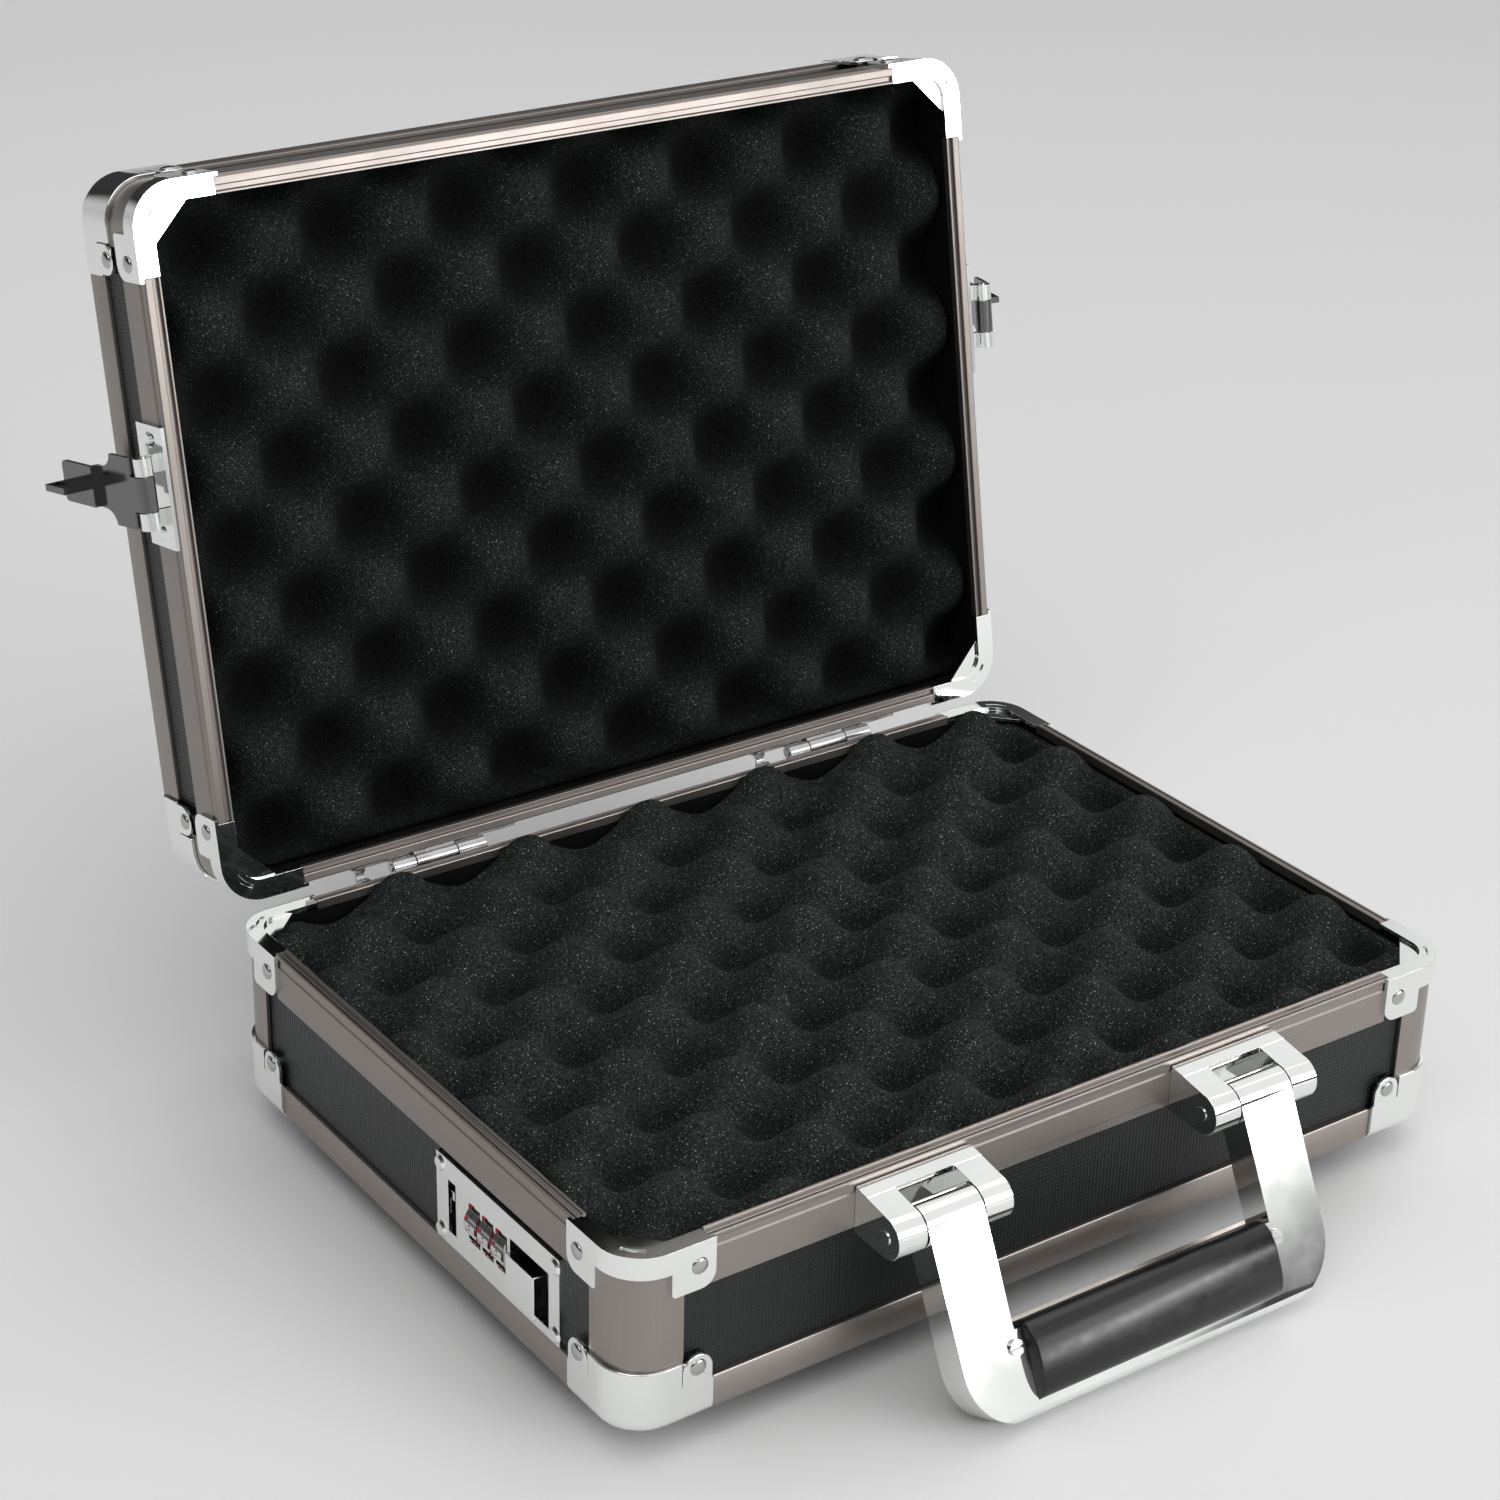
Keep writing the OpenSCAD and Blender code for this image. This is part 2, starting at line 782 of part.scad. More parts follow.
// Push button, bar below the dials and bolt through the staple's place
module lock_slider() {
    riser_y = slot_y + staple_t / 2 + 0.7;
    translate([-5, button_y, button_low])
        cube([lock_plate_t + button_out + 5, button_len, 10.4]);
    translate([-0.4, button_y, button_low])
        cube([lock_plate_t + button_out + 0.4, button_len, button_h]);
    translate([bolt_in, riser_y, button_low])
        cube([bolt_t, button_y + 1 - riser_y, 3]);
    translate([bolt_in, riser_y, button_low])
        cube([bolt_t, 1.8, bolt_z + 3 - button_low]);
    translate([bolt_in, slot_y - 2, bolt_z])
        cube([bolt_t, riser_y + 1 - slot_y + 2, 3]);
}

// Return spring, drawn at its fully pushed length
module lock_spring() {
    turns = 3;
    wire_r = 0.25;
    coil_r = 1.4;
    start = button_y + button_len + bolt_travel + wire_r + 0.05;
    len = lock_len / 2 - 3.2 - lock_wall - wire_r - 0.05 - start;
    translate([-3, start, -6])
        rotate([-90, 0, 0])
            linear_extrude(len, twist = -360 * turns, slices = 12 * turns)
                translate([coil_r, 0])
                    circle(r = wire_r, $fn = 8);
}

module lock_left_plate() color(bright) lock_place() lock_plate();
module lock_right_plate() color(bright) mirror([1, 0, 0]) lock_place() lock_plate();
module lock_housings() color(satin) both_sides() lock_place() lock_housing();
module lock_spindles() color(bright) both_sides() lock_place() lock_spindle();
module lock_springs() color(satin) both_sides() lock_place() lock_spring();
module lock_left_dial(i) color(bright) lock_place() lock_dial(i);
module lock_right_dial(i) color(bright) mirror([1, 0, 0]) lock_place() lock_dial(i);
module lock_left_slider() color(bright) lock_place() lock_slider();
module lock_right_slider() color(bright) mirror([1, 0, 0]) lock_place() lock_slider();

// ---------- hasps ----------

// Hasp frame on the closed lid's left wall: origin on the pin, X out, Y forward, Z up
module hasp_place() {
    lid_open()
        translate([-half_w - hasp_out, -hasp_y, hasp_up])
            rotate([0, 0, 180])
                children();
}

module knuckle(y0, y1, r) {
    translate([0, y0, 0])
        rotate([-90, 0, 0])
            cylinder(r = r, h = y1 - y0);
}

module hasp_plate() {
    difference() {
        union() {
            translate([-hasp_out + 0.02, -hasp_plate_len / 2, -1.5])
                cube([1.2, hasp_plate_len, hasp_plate_h]);
            for (s = [-1, 1]) {
                knuckle(s == 1 ? 5.4 : -hasp_half, s == 1 ? hasp_half : -5.4, hasp_knuckle_r);
                translate([-hasp_out + 0.5, s == 1 ? 5.4 : -hasp_half, 0.6])
                    cube([hasp_out, hasp_half - 5.4, 1.6]);
                translate([-hasp_out + 1, s * 13.6, 7])
                    rotate([0, 90, 0])
                        cylinder(r1 = 2.6, r2 = 1.8, h = 1);
            }
        }
        knuckle(-20, 20, hasp_pin_r + 0.02);
    }
}

module hasp_pin() {
    knuckle(-hasp_half - 0.3, hasp_half + 0.3, hasp_pin_r);
}

// Tongue drawn closed, hanging from the pin, its staple pointing into the case
module hasp_tongue() {
    strip_x = -hasp_knuckle_r;
    wide_low = 14.5;
    difference() {
        union() {
            knuckle(-hasp_neck, hasp_neck, hasp_knuckle_r);
            translate([strip_x, 0, 0])
                rotate([90, 0, 90])
                    linear_extrude(hasp_t)
                        polygon(concat(
                            [[-hasp_neck, -0.2], [-hasp_neck, -3.4], [-hasp_half, -3.4],
                                [-hasp_half, -wide_low]],
                            [for (a = [0:15:90])
                                [-hasp_half + 4.3 * sin(a), -wide_low - 6 + 6 * cos(a)]],
                            [[-tip_half, -24]],
                            [[tip_half, -24]],
                            [for (a = [90:-15:0])
                                [hasp_half - 4.3 * sin(a), -wide_low - 6 + 6 * cos(a)]],
                            [[hasp_half, -wide_low], [hasp_half, -3.4], [hasp_neck, -3.4],
                                [hasp_neck, -0.2]]));
            translate([strip_x - hasp_crank, -tip_half, -24])
                cube([hasp_crank + hasp_t, 2 * tip_half, hasp_t]);
            translate([strip_x - hasp_crank, 0, 0])
                rotate([90, 0, 90])
                    linear_extrude(hasp_t)
                        polygon(concat([[-tip_half, -23]],
                            [for (a = [180:15:360])
                                [sign(cos(a)) * (tip_half - tip_r) + tip_r * cos(a),
                                    tip_r - hasp_len + tip_r * sin(a)]],
                            [[tip_half, -23]]));
            translate([strip_x - hasp_crank - staple_h + 0.2, -staple_t / 2, -staple_low])
                cube([staple_h, staple_t, staple_low - staple_top]);
        }
        knuckle(-20, 20, hasp_pin_r + 0.05);
        translate([hasp_out_to_lock + bolt_in - 0.4, -5, hasp_down_to_lock + bolt_z - 0.7])
            cube([bolt_t + 0.8, 10, 3 + 1.6]);
        for (z = [-staple_low - 1.2, -staple_top + 1.2])
            translate([strip_x - hasp_crank - staple_h - 1, 0, z])
                rotate([0, 45, 0])
                    cube([3, 4, 3], center = true);
    }
}

module hasp_turn(swing) {
    rotate([0, -swing, 0])
        children();
}

module hasp_plates() color(bright) {
    hasp_place() hasp_plate();
    mirror([1, 0, 0]) hasp_place() hasp_plate();
}
module hasp_pins() color(bright) {
    hasp_place() hasp_pin();
    mirror([1, 0, 0]) hasp_place() hasp_pin();
}
module hasp_left_tongue() color(bright) hasp_place() hasp_turn(hasp_left_swing) hasp_tongue();
module hasp_right_tongue() color(bright) mirror([1, 0, 0]) hasp_place()
    hasp_turn(hasp_right_swing) hasp_tongue();

// ---------- hinges ----------

// Hinge drawn closed: origin on the pin's middle, X along the pin, Y back, Z up
module hinge_at() {
    for (s = [-1, 1])
        translate([s * hinge_mid, 0, 0])
            children();
}

module hinge_barrel(x0, x1) {
    translate([x0, 0, 0])
        rotate([0, 90, 0])
            cylinder(r = hinge_r, h = x1 - x0);
}

x_a = -hinge_len / 2;
x_b = x_a + knuckle_a;
x_c = x_b + knuckle_b;
x_d = hinge_len / 2;

module hinge_base_leaf() {
    difference() {
        union() {
            translate([-hinge_leaf_len / 2, -hinge_back + 0.02, -hinge_leaf_h - 1])
                cube([hinge_leaf_len, wall_t, hinge_leaf_h - 0.6]);
            for (r = [[x_a, x_b - hinge_gap / 2], [x_c + hinge_gap / 2, x_d]]) {
                hinge_barrel(r[0], r[1]);
                translate([r[0], -hinge_back + 0.02, -4])
                    cube([r[1] - r[0], 2.2, 4]);
            }
            translate([-stop_x, -hinge_back + 0.5, -6])
                cube([stop_w, 4.2, 5.8]);
        }
        translate([-50, 0, 0])
            rotate([0, 90, 0])
                cylinder(r = hinge_pin_r + 0.02, h = 100);
    }
}

module hinge_lid_leaf() {
    difference() {
        union() {
            translate([-hinge_leaf_len / 2, -hinge_back + 0.02, 1.6])
                cube([hinge_leaf_len, wall_t, hinge_leaf_h - 0.6]);
            hinge_barrel(x_b + hinge_gap / 2, x_c - hinge_gap / 2);
            translate([x_b + hinge_gap / 2, -hinge_back + 0.02, 0])
                cube([x_c - x_b - hinge_gap, 2.2, 4]);
            rotate([lid_angle, 0, 0])
                translate([-stop_x, 0.6, 0.15])
                    cube([stop_w, 2, 2.6]);
        }
        translate([-50, 0, 0])
            rotate([0, 90, 0])
                cylinder(r = hinge_pin_r + 0.06, h = 100);
    }
}

module hinge_base_leaves() color(satin) translate([0, axis_y, axis_z]) hinge_at() hinge_base_leaf();
module hinge_lid_leaves() color(satin) translate([0, axis_y, axis_z])
    rotate([-lid_angle, 0, 0]) hinge_at() hinge_lid_leaf();
module hinge_pins() color(bright) translate([0, axis_y, axis_z]) hinge_at()
    translate([x_a - 0.5, 0, 0])
        rotate([0, 90, 0])
            cylinder(r = hinge_pin_r, h = hinge_len + 1);

// ---------- draw ----------

base_floor_panel();
base_front_panel();
base_back_panel();
base_left_panel();
base_right_panel();
base_lining();
base_front_rail();
base_back_rail();
base_left_rail();
base_right_rail();
base_bottom_trims();
base_corner_posts();
base_rim_clamps();
base_ball_corners();
base_rivets();
base_foam();
feet();
foot_screws();
lid_top_panel();
lid_front_panel();
lid_back_panel();
lid_left_panel();
lid_right_panel();
lid_lining();
lid_front_rail();
lid_back_rail();
lid_left_rail();
lid_right_rail();
lid_top_trims();
lid_corner_posts();
lid_rim_clamps();
lid_ball_corners();
lid_rivets();
lid_foam();
handle_brackets();
handle_pins();
handle_frame();
handle_grip();
handle_screws();
lock_left_plate();
lock_right_plate();
lock_housings();
lock_spindles();
lock_springs();
lock_left_dial(0);  // lock_left_dial_1
lock_left_dial(1);  // lock_left_dial_2
lock_left_dial(2);  // lock_left_dial_3
lock_right_dial(0);  // lock_right_dial_1
lock_right_dial(1);  // lock_right_dial_2
lock_right_dial(2);  // lock_right_dial_3
lock_left_slider();
lock_right_slider();
hasp_plates();
hasp_pins();
hasp_left_tongue();
hasp_right_tongue();
hinge_base_leaves();
hinge_lid_leaves();
hinge_pins();
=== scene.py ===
"""Looks for the miniature carry case: materials, egg-crate foam, grip sleeve and dial marks."""
import json
import math

import bmesh
import bpy
from mathutils import Matrix, Vector


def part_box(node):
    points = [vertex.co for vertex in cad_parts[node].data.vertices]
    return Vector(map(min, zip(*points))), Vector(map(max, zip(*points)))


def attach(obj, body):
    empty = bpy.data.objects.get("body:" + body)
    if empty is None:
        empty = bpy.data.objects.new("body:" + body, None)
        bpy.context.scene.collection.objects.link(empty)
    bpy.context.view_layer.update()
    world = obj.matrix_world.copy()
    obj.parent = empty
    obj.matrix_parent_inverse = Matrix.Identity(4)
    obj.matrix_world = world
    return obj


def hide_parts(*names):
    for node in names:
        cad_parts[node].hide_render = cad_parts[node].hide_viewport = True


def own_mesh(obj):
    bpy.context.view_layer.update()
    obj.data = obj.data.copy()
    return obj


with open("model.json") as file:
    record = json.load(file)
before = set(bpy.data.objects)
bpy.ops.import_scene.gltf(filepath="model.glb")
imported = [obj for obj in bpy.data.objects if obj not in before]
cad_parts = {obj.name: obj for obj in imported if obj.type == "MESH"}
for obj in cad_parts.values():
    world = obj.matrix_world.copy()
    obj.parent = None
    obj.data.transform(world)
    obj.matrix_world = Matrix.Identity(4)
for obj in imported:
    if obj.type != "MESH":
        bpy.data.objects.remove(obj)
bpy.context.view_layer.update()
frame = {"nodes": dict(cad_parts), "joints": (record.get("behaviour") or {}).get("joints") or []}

MM = 0.001


def joint(name):
    return next(j for j in frame["joints"] if j["name"] == name)


# How far the lid stands open at rest
LID_TILT = math.radians(joint("lid_hinge")["range_deg"][1])


# ---------- camera ----------

def add_camera():
    """The main viewpoint: from the front left and above, with a slight roll."""
    azimuth, elevation, roll = (math.radians(a) for a in (35.64, 26.06, -1.416))
    forward = Vector((math.sin(azimuth) * math.cos(elevation),
                      math.cos(azimuth) * math.cos(elevation), -math.sin(elevation)))
    right = Vector((math.cos(azimuth), -math.sin(azimuth), 0))
    down = forward.cross(right)
    right, down = (right * math.cos(roll) + down * math.sin(roll),
                   down * math.cos(roll) - right * math.sin(roll))
    data = bpy.data.cameras.new("camera")
    data.sensor_width = 36
    data.lens = 78.97
    data.clip_start = 0.01
    camera = bpy.data.objects.new("camera", data)
    bpy.context.scene.collection.objects.link(camera)
    turn = Matrix((right, -down, -forward)).transposed().to_4x4()
    camera.matrix_world = Matrix.Translation((-0.5187, -0.6744, 0.5311)) @ turn
    bpy.context.scene.camera = camera


# ---------- material nodes ----------

class Shader:
    """A material with a Principled shader, and short calls for the nodes in front of it."""

    def __init__(self, name, **constants):
        self.material = bpy.data.materials.new(name)
        self.material.use_nodes = True
        self.tree = self.material.node_tree
        self.bsdf = self.tree.nodes["Principled BSDF"]
        for socket, value in constants.items():
            self.bsdf.inputs[socket.replace("_", " ")].default_value = value
        self.place = self.node("ShaderNodeTexCoord").outputs["Object"]

    def node(self, kind, **settings):
        made = self.tree.nodes.new(kind)
        for key, value in settings.items():
            setattr(made, key, value)
        return made

    def link(self, source, target):
        self.tree.links.new(source, target)

    def tilted(self, angle):
        """Turns the pattern's coordinates about X, so that it follows the open lid's own axes."""
        mapping = self.node("ShaderNodeMapping")
        self.link(self.place, mapping.inputs["Vector"])
        mapping.inputs["Rotation"].default_value = (angle, 0, 0)
        self.place = mapping.outputs["Vector"]

    def stretched(self, scale):
        mapping = self.node("ShaderNodeMapping")
        self.link(self.place, mapping.inputs["Vector"])
        mapping.inputs["Scale"].default_value = scale
        return mapping.outputs["Vector"]

    def noise(self, scale, detail=3, stretch=(1, 1, 1), rough=0.55):
        made = self.node("ShaderNodeTexNoise")
        self.link(self.stretched(stretch), made.inputs["Vector"])
        made.inputs["Scale"].default_value = scale
        made.inputs["Detail"].default_value = detail
        made.inputs["Roughness"].default_value = rough
        return made.outputs["Fac"]

    def ramp(self, source, stops):
        made = self.node("ShaderNodeValToRGB")
        self.link(source, made.inputs["Fac"])
        elements = made.color_ramp.elements
        while len(elements) < len(stops):
            elements.new(0.5)
        for element, (position, colour) in zip(elements, stops):
            element.position = position
            element.color = (*colour, 1)
        return made.outputs["Color"]

    def spread(self, source, low, high, start=0.0, end=1.0):
        made = self.node("ShaderNodeMapRange")
        self.link(source, made.inputs["Value"])
        made.inputs["From Min"].default_value = start
        made.inputs["From Max"].default_value = end
        made.inputs["To Min"].default_value = low
        made.inputs["To Max"].default_value = high
        return made.outputs["Result"]

    def maths(self, operation, a, b=None):
        made = self.node("ShaderNodeMath", operation=operation)
        for socket, value in zip(made.inputs, (a, b)):
            if value is None:
                continue
            if isinstance(value, (int, float)):
                socket.default_value = value
            else:
                self.link(value, socket)
        return made.outputs["Value"]

    def colour(self, source):
        self.link(source, self.bsdf.inputs["Base Color"])

    def roughness(self, source):
        self.link(source, self.bsdf.inputs["Roughness"])

    def bump(self, source, distance, strength=1.0):
        made = self.node("ShaderNodeBump")
        made.inputs["Distance"].default_value = distance
        made.inputs["Strength"].default_value = strength
        self.link(source, made.inputs["Height"])
        self.link(made.outputs["Normal"], self.bsdf.inputs["Normal"])


def grey(value, warm=0.0):
    return (value * (1 + warm), value, value * (1 - warm))


# Anodised colour in the drawn lines' valleys and on their crests
ANODISED = (0.315, 0.280, 0.258), (0.350, 0.313, 0.290)


def anodised(name, along, tilt=0.0, level=1.0):
    """Satin anodised extrusion: warm grey, drawn lines along its length. A level below 1 darkens the
    colour; on the lid's side rails this is painted shade.
    """
    stretch = [1.0, 1.0, 1.0]
    stretch["XYZ".index(along)] = 0.012
    shader = Shader(name, Metallic=0.9)
    shader.tilted(tilt)
    low, high = (tuple(part * level for part in colour) for colour in ANODISED)
    lines = shader.noise(1900, 3, stretch)
    cloud = shader.noise(30, 3)
    shader.colour(shader.ramp(lines, [(0.2, low), (0.8, high)]))
    shader.roughness(shader.spread(cloud, 0.30, 0.38, 0.3, 0.7))
    shader.bump(lines, 0.00001, 0.25)
    return shader.material


def chrome(name, rough=0.05, level=0.94):
    """Polished plate with faint handling haze."""
    shader = Shader(name, Metallic=1.0)
    haze = shader.noise(60, 5)
    tint = Vector((0.985, 1.0, 0.985)) * level
    shader.colour(shader.ramp(haze, [(0.3, tuple(tint * 0.98)), (0.7, tuple(tint * 1.02))]))
    shader.roughness(shader.spread(haze, rough, rough + 0.05, 0.35, 0.75))
    return shader.material


def laminate(name, tilt=0.0):
    """Black laminate with a fine grid of raised dots."""
    shader = Shader(name, Roughness=0.36)
    shader.tilted(tilt)
    shader.bsdf.inputs["Specular IOR Level"].default_value = 0.4
    pitch = 1.25 * MM
    wave = 2 * math.pi / pitch
    split = shader.node("ShaderNodeSeparateXYZ")
    shader.link(shader.place, split.inputs["Vector"])
    rows = [shader.maths("COSINE", shader.maths("MULTIPLY", split.outputs[axis], wave))
            for axis in "XYZ"]
    dots = shader.maths("ADD", shader.maths("ADD", rows[0], rows[1]), rows[2])
    height = shader.spread(dots, 0, 1, -1, 3)
    shader.colour(shader.ramp(height, [(0.3, (0.004, 0.005, 0.0055)), (0.8, (0.024, 0.028, 0.030))]))
    shader.bump(height, 0.0002, 0.8)
    return shader.material


def foam_surface():
    """Charcoal open-cell foam with pores; painted shade darkens its pits and lightens its crowns, and
    painted glints speckle it white.
    """
    shader = Shader("foam_surface", Roughness=0.95)
    shader.bsdf.inputs["Specular IOR Level"].default_value = 0.15
    # shade is painted shade, set per point by the foam sheet: darker pits, paler crowns, darker
    # beside the walls.
    shade = shader.node("ShaderNodeAttribute", attribute_name="shade").outputs["Fac"]
    grain = shader.noise(1250, 2)
    patch = shader.noise(90, 3)
    cells = shader.maths("MULTIPLY", shader.spread(grain, 0.30, 1.75, 0.3, 0.72),
                         shader.spread(patch, 0.85, 1.15, 0.3, 0.7))
    # Painted glints: sparse white specks added to the colour.
    painted_glint_specks = shader.spread(shader.noise(2300, 0), 0, 1, 0.73, 0.80)
    glint = shader.maths("MULTIPLY", painted_glint_specks, 0.30)
    base = shader.maths("MULTIPLY", cells, 0.021)
    total = shader.maths("MULTIPLY", shader.maths("ADD", base, glint), shade)
    mix = shader.node("ShaderNodeCombineColor")
    shader.link(shader.maths("MULTIPLY", total, 0.82), mix.inputs["Red"])
    shader.link(total, mix.inputs["Green"])
    shader.link(shader.maths("MULTIPLY", total, 0.90), mix.inputs["Blue"])
    shader.colour(mix.outputs["Color"])
    shader.bump(grain, 0.0006, 0.9)
    return shader.material


def plastic(name, level, rough, scale=400):
    shader = Shader(name)
    cloud = shader.noise(scale, 4)
    shader.colour(shader.ramp(cloud, [(0.3, grey(level * 0.8)), (0.7, grey(level * 1.2))]))
    shader.roughness(shader.spread(cloud, rough - 0.04, rough + 0.05, 0.3, 0.7))
    shader.bump(cloud, 0.00002, 0.5)
    return shader.material


def red_plastic():
    shader = Shader("red_plastic", Roughness=0.35)
    cloud = shader.noise(500, 3)
    shader.colour(shader.ramp(cloud, [(0.3, (0.45, 0.012, 0.02)), (0.7, (0.62, 0.02, 0.03))]))
    return shader.material


def fleece():
    shader = Shader("black_fleece", Roughness=0.95)
    shader.bsdf.inputs["Specular IOR Level"].default_value = 0.1
    nap = shader.noise(900, 4)
    shader.colour(shader.ramp(nap, [(0.3, grey(0.003)), (0.7, grey(0.008))]))
    shader.bump(nap, 0.0003, 0.7)
    return shader.material


def zinc():
    shader = Shader("zinc_steel", Metallic=1.0)
    cloud = shader.noise(120, 4)
    shader.colour(shader.ramp(cloud, [(0.3, grey(0.42)), (0.7, grey(0.58))]))
    shader.roughness(shader.spread(cloud, 0.22, 0.38, 0.3, 0.7))
    return shader.material


MATERIALS = {
    "frame_x": anodised("anodised_x", "X"),
    "frame_y": anodised("anodised_y", "Y", 0.0, 0.9),
    "frame_z": anodised("anodised_z", "Z"),
    # The lid's side rails are darkened to 0.82 as painted shade, for the dim sides they face.
    "lid_frame_y": anodised("anodised_lid_y_painted_shade", "Y", LID_TILT, 0.82),
    "lid_frame_z": anodised("anodised_lid_z", "Z", LID_TILT),
    "chrome": chrome("chrome_plate"),
    "dial": chrome("satin_dial", 0.14, 0.7),
    "rivet": chrome("rivet_steel", 0.12, 0.5),
    # The tongue's chrome is darkened to 0.17 as a painted reflection of dark surroundings.
    "tongue": chrome("dark_nickel", 0.10, 0.17),
    "laminate": laminate("black_laminate"),
    "lid_laminate": laminate("black_laminate_lid", LID_TILT),
    "foam": foam_surface(),
    "fleece": fleece(),
    "grip": plastic("grip_black", 0.010, 0.22, 250),
    "ink": plastic("numeral_ink", 0.01, 0.4, 300),
    "red": red_plastic(),
    "rubber": plastic("rubber_black", 0.02, 0.7, 600),
    "zinc": zinc(),
}


def dress(node, material):
    """Gives a CAD node one material."""
    slots = frame["nodes"][node].data.materials
    slots.clear()
    slots.append(MATERIALS[material])


# Edges that turn by more than this are kept sharp, and get a bevel where the node has one
SHARP_ANGLE = math.radians(40)


def smooth_group():
    """Node group that shades smooth, except across sharp edges."""
    group = bpy.data.node_groups.new("smooth_by_angle", "GeometryNodeTree")
    group.interface.new_socket("Geometry", in_out="INPUT", socket_type="NodeSocketGeometry")
    group.interface.new_socket("Geometry", in_out="OUTPUT", socket_type="NodeSocketGeometry")
    source = group.nodes.new("NodeGroupInput")
    result = group.nodes.new("NodeGroupOutput")
    faces = group.nodes.new("GeometryNodeSetShadeSmooth")
    faces.domain = "FACE"
    edges = group.nodes.new("GeometryNodeSetShadeSmooth")
    edges.domain = "EDGE"
    edges.inputs["Shade Smooth"].default_value = False
    angle = group.nodes.new("GeometryNodeInputMeshEdgeAngle")
    sharp = group.nodes.new("FunctionNodeCompare")
    sharp.operation = "GREATER_THAN"
    sharp.inputs["B"].default_value = SHARP_ANGLE
    group.links.new(angle.outputs["Unsigned Angle"], sharp.inputs["A"])
    group.links.new(sharp.outputs["Result"], edges.inputs["Selection"])
    group.links.new(source.outputs["Geometry"], faces.inputs["Geometry"])
    group.links.new(faces.outputs["Geometry"], edges.inputs["Geometry"])
    group.links.new(edges.outputs["Geometry"], result.inputs["Geometry"])
    return group


SMOOTH = smooth_group()


def soften(node, width):
    """Shades a CAD node's curves smooth and, with a width above 0, bevels its sharp edges."""
    thing = frame["nodes"][node]
    weld = thing.modifiers.new("weld", "WELD")
    weld.merge_threshold = 0.00001
    thing.modifiers.new("smooth", "NODES").node_group = SMOOTH
    if not width:
        return
    bevel = thing.modifiers.new("bevel", "BEVEL")
    bevel.width = width
    bevel.segments = 2
    bevel.limit_method = "ANGLE"
    bevel.angle_limit = SHARP_ANGLE
    even = thing.modifiers.new("even", "WEIGHTED_NORMAL")
    even.keep_sharp = True


# ---------- foam ----------

FOAM_STEP = 1.5 * MM
FOAM_CORNER = 8 * MM
# The foam's top edges roll down by this much, over this distance
EDGE_ROLL = 1.2 * MM
EDGE_ROLL_REACH = 1.0 * MM
# Painted shade darkens the foam within this distance of the walls
WALL_SHADE = 16 * MM
# A base foam point this near a corner, counted along both walls, lies under a gusset and stays low
GUSSET_SPAN = 15 * MM
UNDER_GUSSET = 51 * MM


def smooth(start, end, value):
    """Smooth step from 0 at start to 1 at end."""
    part = min(max((value - start) / (end - start), 0), 1)
    return part * part * (3 - 2 * part)


def rounded(x, y, half_x, y0, y1):
    """Moves a point of the rectangle into the same rectangle with rounded corners."""
    over_x = abs(x) - (half_x - FOAM_CORNER)
    over_y = max(y - (y1 - FOAM_CORNER), y0 + FOAM_CORNER - y)
    if min(over_x, over_y) <= 0:
        return x, y
    near_x = over_x * math.sqrt(1 - over_y ** 2 / (2 * FOAM_CORNER ** 2))
    near_y = over_y * math.sqrt(1 - over_x ** 2 / (2 * FOAM_CORNER ** 2))
    middle, half_y = (y0 + y1) / 2, (y1 - y0) / 2
    return (math.copysign(half_x - FOAM_CORNER + near_x, x),
            middle + math.copysign(half_y - FOAM_CORNER + near_y, y - middle))


